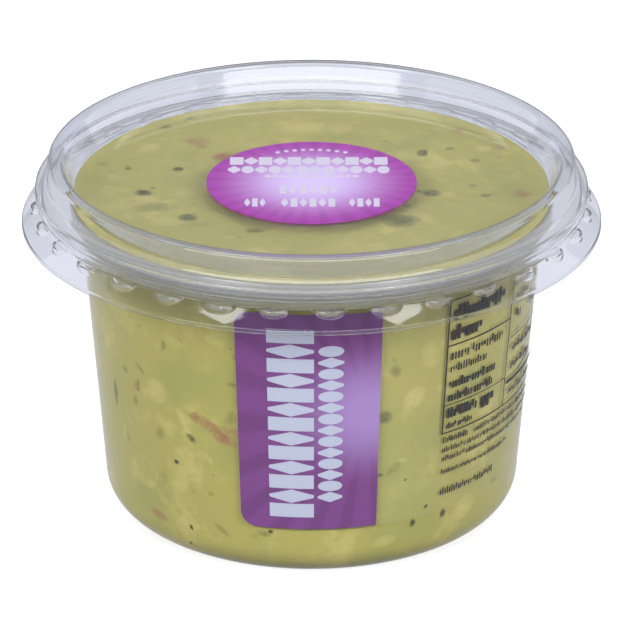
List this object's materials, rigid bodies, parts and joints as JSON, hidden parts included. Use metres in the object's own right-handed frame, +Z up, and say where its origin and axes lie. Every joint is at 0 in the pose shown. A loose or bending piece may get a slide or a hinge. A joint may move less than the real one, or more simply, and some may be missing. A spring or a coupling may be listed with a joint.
{
  "type": "shut clear deli tub of guacamole",
  "caption": "Round clear plastic deli tub filled with guacamole, shut with a clear press-on lid, with a round sticker on the lid and a wrapped side label.",
  "frame": {"origin": "centre of the tub's foot, on the surface that it stands on", "axes": "+Z up along the tub's axis, -Y towards the front of the label, +X to the right seen from the front"},
  "size_m": [0.122, 0.122, 0.078],
  "materials": {
    "tub_plastic": "clear thin thermoformed plastic, glossy",
    "lid_plastic": "clear thin thermoformed plastic, glossy",
    "guacamole": "moist pale green avocado mash with flecks of herb, pepper and onion",
    "sticker_film": "purple printed film, satin",
    "label_film": "clear film with a purple printed panel and dark printed lines"
  },
  "bodies": {
    "root": {"tub": "tub_plastic", "lid": "lid_plastic", "guacamole": "guacamole", "lid_sticker": "sticker_film", "side_label": "label_film"}
  },
  "joints": []
}
